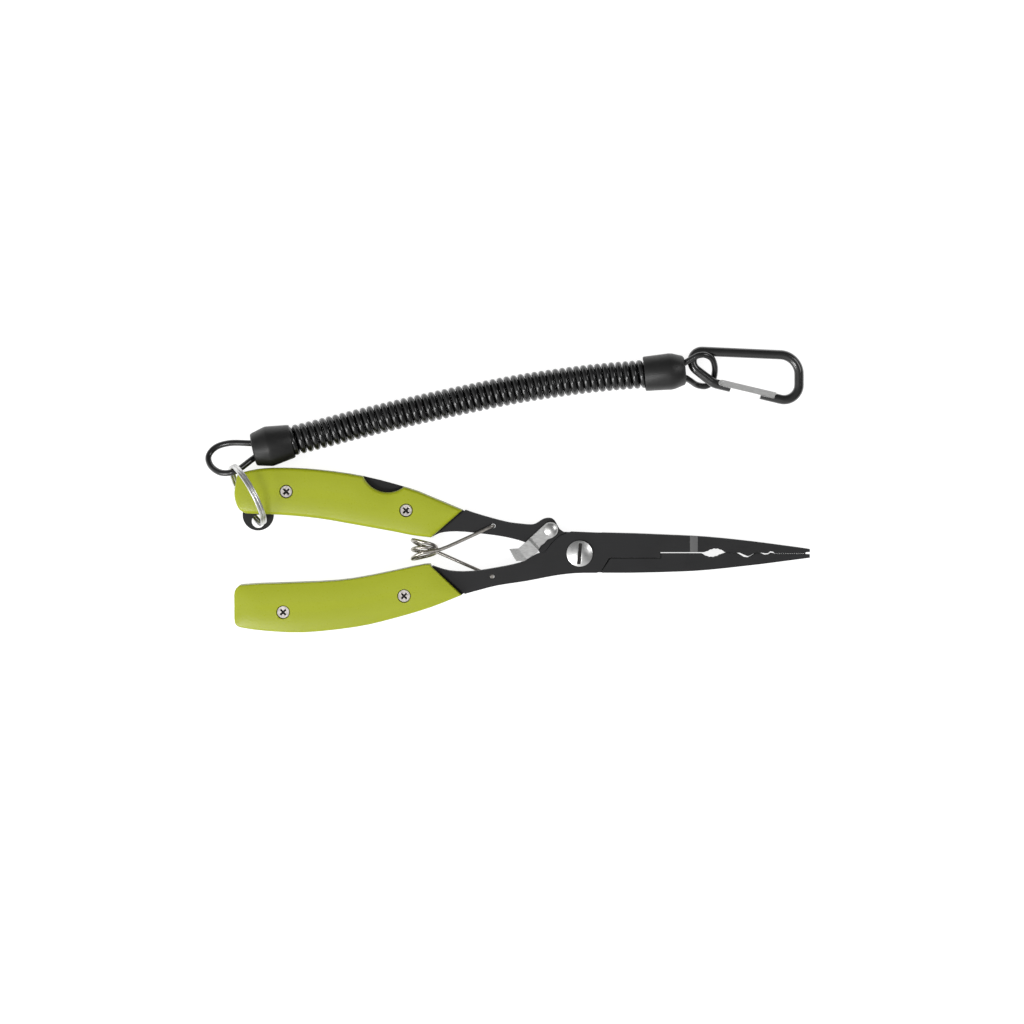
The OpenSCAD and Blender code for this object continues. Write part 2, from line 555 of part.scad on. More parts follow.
module gate_spring() at_pivot() color([0.7, 0.7, 0.7]) on_gate()
    translate([gate_s0 + 1.3, hinge_n, 0]) rotate([0, 90, 0]) cylinder(d = 0.6, h = 9, $fn = 24);

upper_half();
lower_half();
pivot_screw();
pivot_nut();
lock_latch();
latch_rivet();
handle_spring();
upper_front_scale();
upper_back_scale();
lower_front_scale();
lower_back_scale();
upper_scale_screws();
lower_scale_screws();
upper_scale_nuts();
lower_scale_nuts();
split_ring();
ring_loop();
ring_crimp();
ring_sleeve();
lanyard_coil();
hook_sleeve();
hook_crimp();
hook_loop();
carabiner_body();
carabiner_gate();
gate_pin();
gate_spring();
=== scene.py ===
from math import atan2, cos, pi, radians, sin, tan

import bmesh
import bpy
from mathutils import Matrix, Vector


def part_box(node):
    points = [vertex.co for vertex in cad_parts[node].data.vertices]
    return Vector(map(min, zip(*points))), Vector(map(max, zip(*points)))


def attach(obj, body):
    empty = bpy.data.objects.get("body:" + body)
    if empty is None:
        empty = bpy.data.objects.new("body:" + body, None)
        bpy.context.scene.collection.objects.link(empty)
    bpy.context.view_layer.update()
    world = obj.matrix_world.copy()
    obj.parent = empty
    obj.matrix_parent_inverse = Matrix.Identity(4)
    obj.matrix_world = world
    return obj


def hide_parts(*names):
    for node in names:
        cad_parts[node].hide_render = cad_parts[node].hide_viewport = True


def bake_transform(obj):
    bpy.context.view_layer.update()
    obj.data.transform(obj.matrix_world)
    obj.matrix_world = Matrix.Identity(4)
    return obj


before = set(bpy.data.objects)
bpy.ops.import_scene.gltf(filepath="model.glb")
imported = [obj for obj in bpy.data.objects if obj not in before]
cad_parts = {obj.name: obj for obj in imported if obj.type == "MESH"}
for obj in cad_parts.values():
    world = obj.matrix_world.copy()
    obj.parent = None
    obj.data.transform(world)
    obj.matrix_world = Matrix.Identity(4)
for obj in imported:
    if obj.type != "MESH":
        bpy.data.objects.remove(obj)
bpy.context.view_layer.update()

# The camera looks straight down on the pliers, leaned a little from the back edge, as a
# catalogue camera on a copy stand does. It stands far off, so the handles hardly grow.
scene = bpy.context.scene
scene.view_settings.view_transform = "Standard"
view_lean, view_far, view_width = radians(1.2), 1.5, 0.3553
view_middle = Vector((-0.0024, 0.0123, 0.006))
camera = bpy.data.objects.new("camera", bpy.data.cameras.new("camera"))
camera.data.lens = 36 * view_far / view_width
camera.data.clip_end = 20
camera.location = view_middle + view_far * Vector((0, sin(view_lean), cos(view_lean)))
camera.rotation_euler = (-view_lean, 0, 0)
scene.collection.objects.link(camera)
scene.camera = camera

# The lanyard is one black polyurethane cord. It is wound hot on a mandrel into a tight curl,
# and each end is bent back into a small loop and crimped inside a sleeve.
pivot_low, pivot_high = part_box("pivot_nut")
pivot = (pivot_low + pivot_high) / 2
to_frame = Matrix.Translation((pivot.x, pivot.y, 0)) @ Matrix.Scale(0.001, 4)


def smooth(points, steps=4):
    """A smooth line through the points, with so many steps between two of them"""
    p = [Vector(q) for q in points]
    line = []
    for i in range(len(p) - 1):
        a, b, c, d = p[max(i - 1, 0)], p[i], p[i + 1], p[min(i + 2, len(p) - 1)]
        for k in range(steps):
            t = k / steps
            line.append(0.5 * (2 * b + (c - a) * t + (2 * a - 5 * b + 4 * c - d) * t * t
                               + (3 * b - a - 3 * c + d) * t ** 3))
    return line + [p[-1]]


def even(line, gap):
    """The same line with its points about so far apart"""
    out, left = [line[0]], gap
    for a, b in zip(line, line[1:]):
        start, length = 0.0, (b - a).length
        while length - start > left:
            start += left
            out.append(a.lerp(b, start / length))
            left = gap
        left -= length - start
    if (out[-1] - line[-1]).length < gap / 2:
        out.pop()
    return out + [line[-1]]


def swept(line, radius, sides, first=(0, 0, 1), shape=None):
    """A ring of vertices that is extruded along the line and turned with it"""
    ways = [(line[min(i + 1, len(line) - 1)] - line[max(i - 1, 0)]).normalized()
            for i in range(len(line))]
    bm = bmesh.new()
    ring = bmesh.ops.create_circle(bm, segments=sides, radius=radius)["verts"]
    if shape:
        for v in ring:
            v.co = shape(v.co)
    side = Vector(first).cross(ways[0]).normalized()
    up = ways[0].cross(side)
    turn = Matrix((side, up, ways[0])).transposed().to_4x4()
    bmesh.ops.transform(bm, matrix=Matrix.Translation(line[0]) @ turn, verts=ring)
    bmesh.ops.edgeloop_fill(bm, edges=bm.edges[:])
    edges = bm.edges[:]
    for i in range(1, len(line)):
        new = bmesh.ops.extrude_edge_only(bm, edges=edges)["geom"]
        verts = [g for g in new if isinstance(g, bmesh.types.BMVert)]
        edges = [g for g in new if isinstance(g, bmesh.types.BMEdge)]
        turn = ways[i - 1].rotation_difference(ways[i]).to_matrix().to_4x4()
        bmesh.ops.transform(bm, verts=verts, matrix=Matrix.Translation(line[i]) @ turn
                            @ Matrix.Translation(-line[i - 1]))
    bmesh.ops.edgeloop_fill(bm, edges=edges)
    bmesh.ops.recalc_face_normals(bm, faces=bm.faces)
    return bm


def made(bm, name, material, place=to_frame, sharp=35):
    """A finished piece from a bmesh in millimetres"""
    bm.transform(place)
    mesh = bpy.data.meshes.new(name)
    bm.to_mesh(mesh)
    bm.free()
    mesh.materials.append(material)
    mesh.shade_smooth()
    mesh.set_sharp_from_angle(angle=radians(sharp))
    piece = bpy.data.objects.new(name, mesh)
    scene.collection.objects.link(piece)
    return piece


def rides(piece, body, slot, *nodes):
    """The piece moves with a body and stands for CAD nodes; the slot argument is not used"""
    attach(piece, body)
    if nodes:
        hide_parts(*nodes)
    return piece


class Value:
    """A socket that can be reckoned with: each operator adds a Math node"""

    def __init__(self, socket):
        self.socket = socket

    def node(self, kind, sockets, out=0, stops=None, **settings):
        """Adds a node, sets it up and fills its sockets with numbers or links"""
        new = self.socket.id_data.nodes.new("ShaderNode" + kind)
        for key, value in settings.items():
            setattr(new, key, value)
        if stops:
            ramp = new.color_ramp.elements
            while len(ramp) < len(stops):
                ramp.new(0.5)
            for element, (at, shade) in zip(ramp, stops):
                element.position = at
                element.color = (shade, shade, shade, 1)
        for key, value in sockets.items():
            if isinstance(value, Value):
                self.socket.id_data.links.new(value.socket, new.inputs[key])
            else:
                new.inputs[key].default_value = value
        return Value(new.outputs[out])

    def math(self, operation, a, b):
        return self.node("Math", {0: a, 1: b}, operation=operation)

    def __add__(self, other):
        return self.math("ADD", self, other)

    def __radd__(self, other):
        return self.math("ADD", other, self)

    def __sub__(self, other):
        return self.math("SUBTRACT", self, other)

    def __rsub__(self, other):
        return self.math("SUBTRACT", other, self)

    def __mul__(self, other):
        return self.math("MULTIPLY", self, other)

    def __rmul__(self, other):
        return self.math("MULTIPLY", other, self)

    def noise(self, scale, detail=3.0, stretch=(1, 1, 1)):
        """Noise on the piece, with so many grains to the metre"""
        at = self.node("Mapping", {"Vector": self, "Scale": stretch})
        return self.node("TexNoise", {"Vector": at, "Scale": scale, "Detail": detail})

    def between(self, dark, light):
        """A colour between two, by this value"""
        return self.node("Mix", {0: self, 6: (*dark, 1), 7: (*light, 1)}, out=2,
                         data_type="RGBA")

    def to(self, surface, name):
        self.socket.id_data.links.new(self.socket, surface.inputs[name])


def finish(name, **sockets):
    """A material, its surface with the sockets that are the same all over, and the place on it"""
    material = bpy.data.materials.new(name)
    material.use_nodes = True
    surface = material.node_tree.nodes["Principled BSDF"]
    for key, value in sockets.items():
        surface.inputs[key.replace("_", " ")].default_value = value
    place = material.node_tree.nodes.new("ShaderNodeTexCoord").outputs["Object"]
    return material, surface, Value(place)


def bump(surface, height, depth, strength=1.0):
    """Fine relief so many metres deep"""
    height.node("Bump", {"Height": height, "Distance": depth, "Strength": strength}) \
        .to(surface, "Normal")


cord_skin, surface, place = finish("cord_polyurethane", Coat_Weight=0.35, Coat_Roughness=0.08)
cloud = place.noise(260)
cloud.between((0.003, 0.003, 0.003), (0.007, 0.007, 0.0075)).to(surface, "Base Color")
(0.1 + 0.1 * place.noise(900)).to(surface, "Roughness")
bump(surface, place.noise(5200, 2), 0.00002)

ring_loop_route = [
    (-109, 38.3, 7), (-111.6, 38, 7), (-115, 38.2, 6.6), (-121.4, 38.2, 5.2),
    (-126.3, 36.7, 4.8), (-128.7, 33.6, 5.8), (-127.6, 30.2, 8), (-124, 28, 10.8),
    (-119.3, 28.4, 12.1), (-115.4, 31, 9.8), (-112.7, 33.5, 7.4), (-110.8, 34.9, 7),
    (-108.5, 35.7, 7)]
hook_loop_route = [
    (32.3, 64.3, 6.35), (34.6, 64.7, 6.35), (37, 66, 6.8), (39.8, 68.1, 7.9), (43, 68.8, 7.7),
    (45.8, 67.6, 6.2), (46.9, 65.2, 4.3), (47, 62.4, 2.4), (46.2, 59.6, 1.2), (44, 58, 1.12),
    (41, 58.4, 1.7), (38.5, 59.9, 4.2), (36.7, 60.9, 5.8), (34.6, 61.6, 6.3), (32.5, 61.9, 6.35)]
curl_route = [
    (-105.5, 37.6, 7), (-99.1, 39.15, 6.9), (-96, 39.9, 6.6), (-86, 42.4, 5.75),
    (-77.2, 44.7, 5.45), (-58.4, 49.2, 5.4), (-39.7, 53.3, 5.35), (-21, 57, 5.3),
    (-2.2, 59.8, 5.3), (10.3, 61.2, 5.6), (19, 61.9, 6.3), (25.1, 62.45, 6.35),
    (30, 62.9, 6.35)]
cord_thick, curl_pitch, turn_points = 2.2, 2.42, 22
joint_reach, joint_passes = 14, 60
# Over this length inside each sleeve the strand leaves the middle and starts to turn
curl_start = 6.0
# The curl is a little wider near the ring than near the carabiner
curl_wide, curl_narrow = 10.7 - cord_thick, 10.0 - cord_thick
middle = even(smooth(curl_route, 12), curl_pitch / turn_points)
strand = even(smooth(ring_loop_route, 8), 0.7)
joints = [len(strand)]
a = pi
for i, c in enumerate(middle):
    along = (middle[min(i + 1, len(middle) - 1)] - middle[max(i - 1, 0)]).normalized()
    side = Vector((0, 0, 1)).cross(along).normalized()
    share = i / (len(middle) - 1)
    from_end = min(i, len(middle) - 1 - i) * curl_pitch / turn_points
    opened = min(1, from_end / curl_start)
    a += 2 * pi / turn_points * opened ** 3
    r = opened * opened * (3 - 2 * opened) * (curl_wide + (curl_narrow - curl_wide) * share) / 2
    strand.append(c + r * (cos(a) * side + sin(a) * along.cross(side)))
joints.append(len(strand))
strand += even(smooth(hook_loop_route, 8), 0.7)
# Inside the sleeves the strand eases from each loop into the curl
for joint in joints:
    for _ in range(joint_passes):
        for i in range(max(1, joint - joint_reach), min(len(strand) - 1, joint + joint_reach)):
            strand[i] = (strand[i - 1] + 2 * strand[i] + strand[i + 1]) / 4
cord_length = sum((b - a).length for a, b in zip(strand, strand[1:])) / 1000
lanyard = made(swept(strand, cord_thick / 2, 10), "lanyard_cord", cord_skin, sharp=80)
rides(lanyard, "upper_body", "black_cord", "ring_loop", "lanyard_coil", "hook_loop")
cord_exit = to_frame @ strand[0]
cord_path = [to_frame @ p for p in strand]

# Two moulded rubber sleeves hide the crimps. Each is barrel-shaped with a rounded nose that the
# loop comes out of and a wide mouth that the first turns of the curl are pushed into.


def spun(profile, turns=48):
    """A profile of (along, radius) points in millimetres, spun about the X axis"""
    bm = bmesh.new()
    verts = [bm.verts.new((x, r, 0)) for x, r in profile]
    edges = [bm.edges.new(pair) for pair in zip(verts, verts[1:])]
    bmesh.ops.spin(bm, geom=verts + edges, cent=(0, 0, 0), axis=(1, 0, 0), angle=2 * pi,
                   steps=turns, use_merge=True, dvec=(0, 0, 0))
    bmesh.ops.remove_doubles(bm, verts=bm.verts, dist=0.0005)
    bmesh.ops.recalc_face_normals(bm, faces=bm.faces)
    return bm


def sleeve(name, profile, at, turn, material):
    bm = spun(profile)
    bm.transform(Matrix.Translation(at) @ Matrix.Rotation(radians(turn), 4, "Z"))
    return made(bm, name, material, sharp=50)


rubber, surface, place = finish("sleeve_rubber", Specular_IOR_Level=0.4)
place.noise(300).between((0.004, 0.004, 0.004), (0.012, 0.012, 0.012)).to(surface, "Base Color")
(0.3 + 0.2 * place.noise(1200)).to(surface, "Roughness")
bump(surface, place.noise(2600, 4), 0.00005)

ring_sleeve = sleeve("ring_end_sleeve", [
    (0.3, 0), (0.25, 3.2), (0, 3.8), (0, 5.2), (0.25, 5.6), (0.7, 5.8), (5.2, 6.95), (5.6, 7),
    (6.5, 6.9), (13.4, 5.85), (13.8, 5.6), (13.75, 5.3), (11, 5.2), (11, 0)],
    (-113.1, 35.9, 7), 12.5, rubber)
rides(ring_sleeve, "upper_body", "sleeve_rubber", "ring_sleeve")
hook_sleeve = sleeve("hook_end_sleeve", [
    (0.5, 0), (0.3, 2.9), (0, 3.5), (0.15, 4.4), (0.7, 5.1), (4.2, 6.2), (5.5, 6.35),
    (6.5, 6.28), (14, 6), (14.3, 5.8), (14.2, 5.5), (11.3, 5.4), (11.3, 0)],
    (36.7, 63.5, 6.35), 185.2, rubber)
rides(hook_sleeve, "upper_body", "sleeve_rubber", "hook_sleeve")

# The crimps are short aluminium ferrules squeezed on the cord's ends, hidden in the sleeves
crimp_metal, surface, place = finish("crimp_aluminium", Metallic=1.0)
place.noise(500).between((0.5, 0.5, 0.5), (0.65, 0.65, 0.65)).to(surface, "Base Color")
(0.35 + 0.15 * place.noise(1500)).to(surface, "Roughness")
for node in ("ring_crimp", "hook_crimp"):
    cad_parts[node].data.materials.clear()
    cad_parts[node].data.materials.append(crimp_metal)

# The small carabiner is a bent aluminium bar, anodised gloss black. Both ends of the opening are
# milled half away into lips that the gate lies against.
bar_corners = [Vector(p) for p in ((39, 70.2), (76.4, 68.6), (76.4, 51.9), (46.6, 58.9),
                                   (39, 64.7))]
bar_bends = (3.4, 6.8, 5.2, 6, 4)
bar_d = 3.3


def corner_bend(i, steps):
    """Points round the bend at one corner of the bar"""
    here, before, after = bar_corners[i], bar_corners[i - 1], bar_corners[(i + 1) % 5]
    into, out = (here - before).normalized(), (after - here).normalized()
    turn = into.angle(out)
    centre = here + out * bar_bends[i] * tan(turn / 2) + Vector((out.y, -out.x)) * bar_bends[i]
    start = atan2(out.x, -out.y) + turn
    return [centre + bar_bends[i] * Vector((cos(start - turn * k / steps),
                                            sin(start - turn * k / steps)))
            for k in range(steps + 1)]


gate_way = (bar_corners[2] - bar_corners[3]).normalized()
bar_line = [bar_corners[3] + gate_way * 5.9] + corner_bend(3, 8) + corner_bend(4, 8) \
    + corner_bend(0, 14) + corner_bend(1, 14) + corner_bend(2, 14) \
    + [bar_corners[3] + gate_way * 16.8]
on_bar = Matrix.Translation((76.4, 0, bar_d / 2 + 0.07)) @ Matrix.Rotation(radians(4.6), 4, "Y") \
    @ Matrix.Translation((-76.4, 0, 0))
on_gate = on_bar @ Matrix.Translation((*bar_corners[3], 0)) \
    @ Matrix.Rotation(atan2(gate_way.y, gate_way.x), 4, "Z")


def block(low, high, place):
    """A plain block between two corners, to cut with or to build on"""
    bm = bmesh.new()
    bmesh.ops.create_cube(bm, size=1)
    size = Vector(high) - Vector(low)
    bm.transform(place @ Matrix.Translation((Vector(low) + Vector(high)) / 2)
                 @ Matrix.Diagonal((*size, 1)))
    return bm


def cut(piece, tool, operation="DIFFERENCE"):
    """Cuts or joins one piece with another, and keeps the result as its mesh"""
    change = piece.modifiers.new("cut", "BOOLEAN")
    change.operation, change.object, change.solver = operation, tool, "EXACT"
    bpy.context.view_layer.update()
    seen = piece.evaluated_get(bpy.context.evaluated_depsgraph_get())
    mesh = bpy.data.meshes.new_from_object(seen)
    piece.modifiers.clear()
    old, piece.data = piece.data, mesh
    mesh.name = piece.name
    bpy.data.meshes.remove(old)
    bpy.data.objects.remove(tool)


def rounded(piece, width, segments=2, angle=35):
    """Breaks the sharp edges of a piece, as deburring does"""
    edge = piece.modifiers.new("edges", "BEVEL")
    edge.width, edge.segments, edge.limit_method = width, segments, "ANGLE"
    edge.angle_limit, edge.use_clamp_overlap = radians(angle), True
    even_light = piece.modifiers.new("flats", "WEIGHTED_NORMAL")
    even_light.keep_sharp = True
    return edge


anodised, surface, place = finish("black_anodised", Coat_Weight=0.5, Coat_Roughness=0.05)
place.noise(180).between((0.004, 0.004, 0.004), (0.012, 0.012, 0.012)).to(surface, "Base Color")
(0.16 + 0.12 * place.noise(700)).to(surface, "Roughness")
bump(surface, place.noise(1800, 2), 0.00001)

carabiner = made(swept([Vector((*q, 0)) for q in bar_line], bar_d / 2, 28), "carabiner_bar",
                 anodised, to_frame @ on_bar, sharp=40)
cut(carabiner, made(block((1, -0.35, -5), (21.6, 5.65, 5), on_gate), "seat_cutter", anodised))
cut(carabiner, made(block((0.6, -0.4, -0.55), (3.2, 1.65, 0.55), on_gate), "tongue", anodised),
    "UNION")
rounded(carabiner, 0.00012)
rides(carabiner, "upper_body", "black_alloy", "carabiner_body")

# The gate is a bright folded channel that turns on a small pin, with a wire spring inside it
gate_metal, surface, place = finish("gate_aluminium", Metallic=1.0)
grain = place.noise(700, 4, (1, 8, 8))
grain.between((0.62, 0.62, 0.61), (0.86, 0.86, 0.85)).to(surface, "Base Color")
(0.25 + 0.2 * grain).to(surface, "Roughness")
bump(surface, grain, 0.00001)


def copied(node, name, material, body, slot, width, segments=2, angle=30):
    """A CAD solid as it is, with its edges broken"""
    bm = bmesh.new()
    bm.from_mesh(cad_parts[node].data)
    bmesh.ops.remove_doubles(bm, verts=bm.verts, dist=0.000002)
    bmesh.ops.dissolve_limit(bm, angle_limit=radians(0.5), verts=bm.verts, edges=bm.edges)
    piece = made(bm, name, material, Matrix.Identity(4), sharp=angle)
    rounded(piece, width, segments, angle)
    return rides(piece, body, slot, node)


gate = copied("carabiner_gate", "gate_channel", gate_metal, "gate", "gate_alloy", 0.00015)
for node in ("gate_pin", "gate_spring"):
    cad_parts[node].data.materials.clear()
    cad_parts[node].data.materials.append(gate_metal)

# The two halves of the pliers are forged steel, ground flat on both faces and blackened. Their
# edges are painted a little brighter, partly as wear and partly as painted edge highlights, and a
# short ramp on the upper jaw is painted lighter as a painted highlight where it catches the
# light.


def blackened(name, lighter_by=0.0):
    material, surface, place = finish(name, Specular_IOR_Level=0.3)
    cloud = place.noise(120, 4)
    lines = place.noise(900, 3, (0.12, 3, 3))
    shade = cloud * 0.5 + lines * 0.5
    # A lighter copy of this colour paints highlights on edges and ramps; on the edges it stands
    # partly for wear too
    shade.between((0.005 + lighter_by, 0.005 + lighter_by, 0.0053 + lighter_by),
                  (0.015 + lighter_by, 0.015 + lighter_by, 0.016 + lighter_by)).to(surface, "Base Color")
    (0.42 + 0.25 * shade).to(surface, "Roughness")
    bump(surface, lines, 0.000015)
    return material


black_steel = blackened("blackened_steel")
# The bevelled edges are painted lighter, partly as wear and partly as painted edge highlights
wear_and_edge_highlight = blackened("wear_and_edge_highlight", 0.05)
ramp_highlight_steel = blackened("ramp_painted_highlight", 0.09)
for node, body in (("upper_half", "upper_body"), ("lower_half", "lower_body")):
    half = copied(node, node + "_steel", black_steel, body, "black_steel", 0.0001, 2, 25)
    half.data.materials.append(wear_and_edge_highlight)
    half.modifiers["edges"].material = 1
    if node == "lower_half":
        # The ramp faces tilted one way get a lighter colour, a painted highlight
        half.data.materials.append(ramp_highlight_steel)
        for face in half.data.polygons:
            if face.normal.z > 0.9 and face.normal.x > 0.12:
                face.material_index = 2

# The pivot is a polished screw with a low domed head and a slot, in a round nut behind
polished, surface, place = finish("polished_steel", Metallic=1.0)
cloud = place.noise(420, 5)
cloud.between((0.5, 0.5, 0.5), (0.85, 0.85, 0.84)).to(surface, "Base Color")
(0.18 + 0.3 * cloud).to(surface, "Roughness")
bump(surface, place.noise(1500, 4), 0.00003)
# The recesses in the screw heads get a dark colour: painted shade where little light reaches
recess_dark, surface, place = finish("painted_recess_shade", Specular_IOR_Level=0.2)
place.noise(900).between((0.01, 0.009, 0.009), (0.03, 0.028, 0.028)).to(surface, "Base Color")
(0.6 + 0.2 * place.noise(1500)).to(surface, "Roughness")


def recessed(piece, spots, reach, deepest):
    """The walls and floors of the recesses in the heads are painted dark, as painted shade"""
    piece.data.materials.append(recess_dark)
    top = max(v.co.z for v in piece.data.vertices)
    for face in piece.data.polygons:
        near = min((face.center.xy - spot.xy).length for spot in spots)
        if near < reach and 0.0001 < top - face.center.z < deepest \
                and (abs(face.normal.z) < 0.2 or face.normal.z > 0.98):
            face.material_index = 1


recessed(copied("pivot_screw", "pivot_head", polished, "upper_body", "bright_steel", 0.00012, 2),
         [pivot], 0.0012, 0.0015)
copied("pivot_nut", "pivot_round_nut", polished, "upper_body", "bright_steel", 0.00015, 2)
copied("latch_rivet", "latch_rivet_head", polished, "upper_body", "bright_steel", 0.0001, 2)

# The latch is stamped from brushed stainless sheet and bent up at its end for the thumb
sheet_steel, surface, place = finish("brushed_sheet", Metallic=1.0)
lines = place.noise(600, 4, (1, 6, 3))
lines.between((0.35, 0.35, 0.35), (0.85, 0.85, 0.84)).to(surface, "Base Color")
(0.28 + 0.2 * lines).to(surface, "Roughness")
bump(surface, lines, 0.00002)
copied("lock_latch", "thumb_latch", sheet_steel, "latch", "latch_steel", 0.00015, 2)

# One length of spring wire is wound into two and a half turns between the handles. Its legs
# are bent into a small hole in each neck, one in front and one behind.
wire_d, steel_low, steel_top = 1.2, 3.0, 10.0
front_leg, back_leg = steel_top + wire_d / 2 + 0.2, steel_low - wire_d / 2 - 0.2
upper_hole, lower_hole = Vector((-29.9, 9.5, 0)), Vector((-30.3, -8.05, 0))
spring_turns, steps = 2.5, 40
# The turns fan out over this height, lean by the slant, and meet again where the legs leave
spring_middle, spring_radius, spring_fan, spring_slant = Vector((-53.8, 1.3, 6.5)), 4.2, 8, 1.3
spring_line = [lower_hole + Vector(p) for p in (
    (0, 0, steel_top - 0.3), (0, 0, 7), (0, 0, 4.6), (0, 0, steel_low + 0.2),
    (-0.35, 0.1, steel_low - 0.45), (-1.4, 0.5, back_leg))]
spring_line += [Vector((-40, -3.85, back_leg)), Vector((-48, -0.3, back_leg))]
for i in range(int(spring_turns * steps) + 1):
    t = i / (spring_turns * steps)
    a = -pi / 2 - 2 * pi * spring_turns * t
    fan = 0.4 + 0.6 * ((1 - cos(a)) / 2) ** 2
    spring_line.append(spring_middle + Vector((
        spring_radius * cos(a), (0.5 - t) * spring_fan * fan + spring_slant * sin(a),
        (front_leg - back_leg) / 2 * sin(a))))
spring_line += [Vector((-48, 1.5, front_leg)), Vector((-40, 4.95, front_leg))]
spring_line += [upper_hole + Vector(p) for p in (
    (-1.4, -0.5, front_leg), (-0.35, -0.1, steel_top + 0.45), (0, 0, steel_top - 0.2),
    (0, 0, steel_top - 2.5))]
spring_steel, surface, place = finish("drawn_wire", Metallic=1.0)
grain = place.noise(900, 4)
grain.between((0.26, 0.24, 0.22), (0.6, 0.57, 0.53)).to(surface, "Base Color")
(0.2 + 0.2 * grain).to(surface, "Roughness")
spring = made(swept(smooth(spring_line, 3), wire_d / 2, 16, (0, 1, 0)), "spring_wire",
              spring_steel, sharp=60)
# It bends from just past one leg's end to just past the other's, so both ends stay in their holes
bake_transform(spring)
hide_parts("handle_spring")

# Each handle has a moulded lime scale on its front and its back. The outer rims are rounded well
# over for the hand, and the screws sit in counterbores.
lime, surface, place = finish("lime_moulding", Specular_IOR_Level=0.35)
cloud = place.noise(45, 3)
fine = place.noise(1400, 3)
(cloud * 0.8 + fine * 0.2).between((0.255, 0.289, 0.006), (0.302, 0.34, 0.011)) \
    .to(surface, "Base Color")
(0.24 + 0.1 * fine).to(surface, "Roughness")
bump(surface, fine, 0.00003)

rim_round, crown, crown_wide = 0.0011, 0.0006, 0.006
counterbore_reach, crown_deep, weld = 0.0035, 0.0013, 0.000002
# Behind the upper handle the split ring's channel cuts the rim, which stays square around it
channel_spot, channel_reach = to_frame @ Vector((-114.84, 20.34, 0)), 0.014
screw_spots = [to_frame @ Vector((*p, 0)) for p in
               ((-101.4, 21.5), (-60, 15), (-102.5, -20.2), (-60.7, -14.6))]
for side, body in (("upper", "upper_body"), ("lower", "lower_body")):
    for face in ("front", "back"):
        node = f"{side}_{face}_scale"
        low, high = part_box(node)
        outer, up = (high.z, 1) if face == "front" else (low.z, -1)
        bm = bmesh.new()
        bm.from_mesh(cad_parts[node].data)
        bmesh.ops.remove_doubles(bm, verts=bm.verts, dist=weld)
        bmesh.ops.dissolve_limit(bm, angle_limit=radians(0.5), verts=bm.verts, edges=bm.edges)
        rim = []
        for e in bm.edges:
            centre = (e.verts[0].co + e.verts[1].co) / 2
            if all(abs(v.co.z - outer) < 0.00001 for v in e.verts) \
                    and any(abs(f.normal.z) < 0.1 for f in e.link_faces) \
                    and all((centre.xy - c.xy).length > counterbore_reach for c in screw_spots) \
                    and (node != "upper_back_scale"
                         or (centre.xy - channel_spot.xy).length > channel_reach):
                rim.append(e)
        outline = [(e.verts[0].co.xy.copy(), e.verts[1].co.xy.copy()) for e in rim]
        bmesh.ops.bevel(bm, geom=rim, offset=rim_round, offset_type="OFFSET",
                        affect="EDGES", segments=5, profile=0.5, material=-1, clamp_overlap=True)
        bmesh.ops.dissolve_degenerate(bm, dist=weld, edges=bm.edges[:])
        # Cuts across the scale give its face the points that the crown needs
        for axis, gap in ((0, 0.0025), (1, 0.0015)):
            at = low[axis] + gap
            while at < high[axis]:
                spot, way = Vector((0, 0, 0)), Vector((0, 0, 0))
                spot[axis], way[axis] = at, 1
                bmesh.ops.bisect_plane(bm, geom=bm.verts[:] + bm.edges[:] + bm.faces[:],
                                       plane_co=spot, plane_no=way, dist=0.00001)
                at += gap
        for v in bm.verts:
            if (v.co.z - outer) * up > -crown_deep:
                near = crown_wide
                for a, b in outline:
                    along = b - a
                    t = min(1, max(0, (v.co.xy - a).dot(along) / along.length_squared))
                    near = min(near, (v.co.xy - a - along * t).length)
                v.co.z -= up * crown * (1 - near / crown_wide) ** 2
        scale = made(bm, node + "_moulding", lime, Matrix.Identity(4), sharp=40)
        rounded(scale, 0.0001, 2, 40)
        rides(scale, body, "lime_scale", node)

# Cross-recessed screws hold the scales, turned into barrel nuts from the back
screw_steel, surface, place = finish("plated_screw", Metallic=0.9)
grain = place.noise(1100, 4)
grain.between((0.36, 0.33, 0.31), (0.8, 0.76, 0.73)).to(surface, "Base Color")
(0.3 + 0.2 * grain).to(surface, "Roughness")
bump(surface, grain, 0.00003)
for side in ("upper", "lower"):
    recessed(copied(f"{side}_scale_screws", f"{side}_cross_screws", screw_steel,
                    f"{side}_body", "screw_steel", 0.0002, 2), screw_spots, 0.0016, 0.0012)
    copied(f"{side}_scale_nuts", f"{side}_barrel_nuts", screw_steel, f"{side}_body",
           "screw_steel", 0.00012, 2)

# The split ring is two turns of flat spring steel wire, stepped from one layer to the other
ring_d, ring_thick, turn_wide, ring_turns = 23.4, 1.1, 1.03, 1.9
ring_place = Matrix.Translation((-111.4 - 3.44, 13.3 + 7.04, 11.65)) \
    @ Matrix.Rotation(radians(117.3), 4, "Z") @ Matrix.Rotation(radians(-3.2), 4, "Y") \
    @ Matrix.Rotation(radians(-75.8), 4, "X")
ring_line = []
for i in range(int(96 * ring_turns) + 1):
    a = 2 * pi * i / 96
    step = min(1, max(0, (i / 96 - 0.9) / 0.1))
    height = (step * step * (3 - 2 * step) - 0.5) * turn_wide
    ring_line.append(Vector(((ring_d - ring_thick) / 2 * cos(a + 2.4),
                             (ring_d - ring_thick) / 2 * sin(a + 2.4), height)))


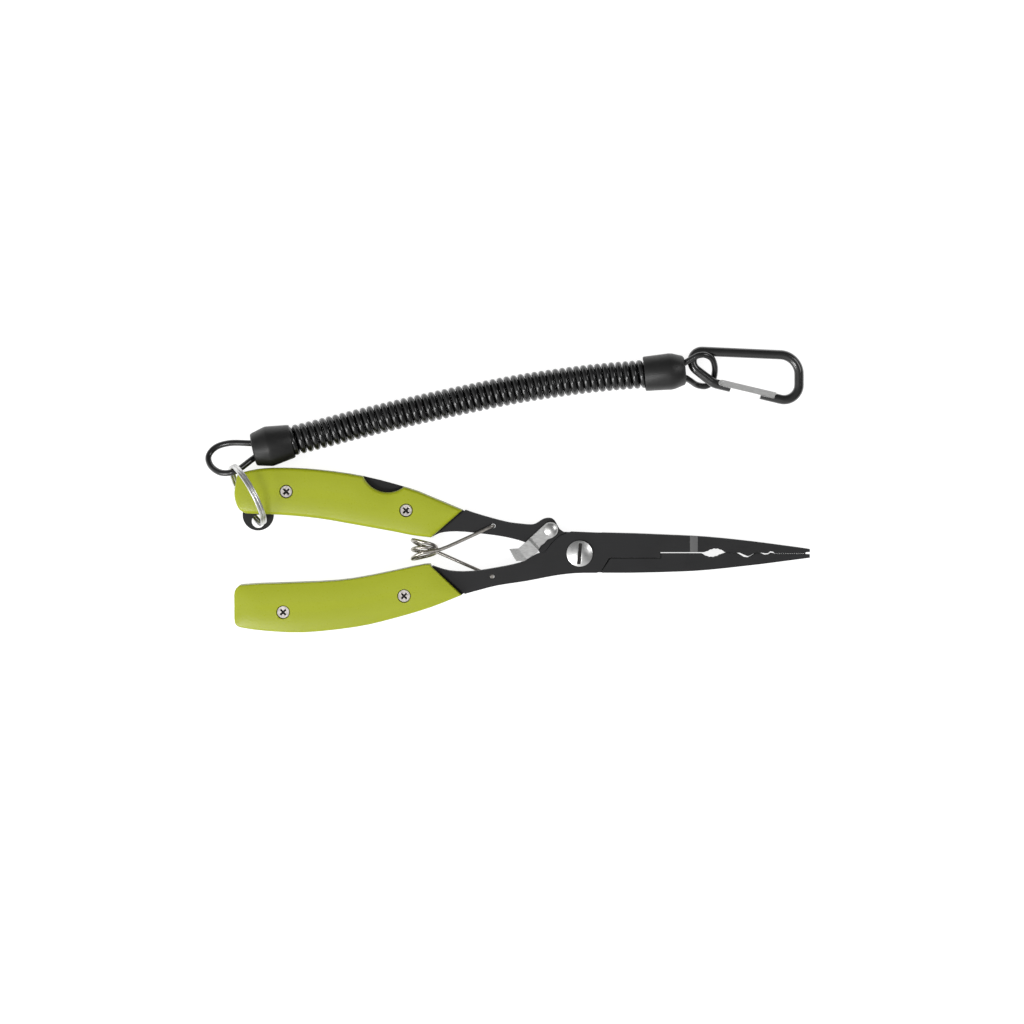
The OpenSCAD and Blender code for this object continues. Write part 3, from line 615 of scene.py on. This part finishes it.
def flat_wire(co):
    """Squares a round section off into a flat wire with soft corners"""
    r = co.length
    half = Vector((turn_wide, ring_thick, 0)) / 2
    c, s = co.x / r, co.y / r
    return Vector((half.x * (abs(c) ** 0.45) * (1 if c > 0 else -1),
                   half.y * (abs(s) ** 0.45) * (1 if s > 0 else -1), 0))


ring = made(swept(ring_line, 0.5, 16, (1, 0, 0), flat_wire), "split_ring_wire", polished,
            to_frame @ ring_place, sharp=50)
rides(ring, "upper_body", "bright_steel", "split_ring")

# A plain white sweep that glows, soft light from large screens, and a small near one for sharp
# lights in the cord. The screen overhead is kept out of reflections, as a polariser does.
floor_bm = bmesh.new()
bmesh.ops.create_grid(floor_bm, x_segments=1, y_segments=1, size=3)
paper, surface, place = finish("white_sweep", Roughness=1.0, Emission_Strength=0.85,
                               Specular_IOR_Level=0.0)
surface.inputs["Emission Color"].default_value = (1, 1, 1, 1)
place.noise(3).between((0.3, 0.3, 0.3), (0.32, 0.32, 0.32)).to(surface, "Base Color")
made(floor_bm, "floor", paper, Matrix.Translation((0, 0, -0.0003)))
for name, spot, size, power, mirrored in (
        ("screen_left", (-0.9, -0.75, 0.7), 0.7, 9, True),
        ("screen_right", (0.9, 0.4, 0.8), 0.5, 3, True),
        ("strip_near", (-0.34, -0.4, 1.0), 0.2, 3.2, True),
        ("screen_top", (0, 0.1, 1.9), 1.6, 14, False)):
    lamp = bpy.data.lights.new(name, "AREA")
    lamp.size, lamp.energy = size, power
    light = bpy.data.objects.new(name, lamp)
    light.location = spot
    light.rotation_euler = (-Vector(spot)).to_track_quat("-Z", "Y").to_euler()
    light.visible_glossy = mirrored
    scene.collection.objects.link(light)
scene.world = bpy.data.worlds.new("studio")
scene.world.use_nodes = True
sky = scene.world.node_tree.nodes["Background"]
sky.inputs["Strength"].default_value = 1.0
sky_way = Value(scene.world.node_tree.nodes.new("ShaderNodeTexCoord").outputs["Generated"])
leaned = sky_way.node("VectorMath", {0: sky_way, 1: (-0.55, -0.6, 0.25)}, out=1,
                      operation="DOT_PRODUCT")
leaned.node("ValToRGB", {"Fac": leaned * 0.5 + 0.5}, stops=(
    (0.0, 0.12), (0.42, 0.2), (0.6, 0.34), (0.74, 0.75), (1.0, 1.1))).to(sky, "Color")
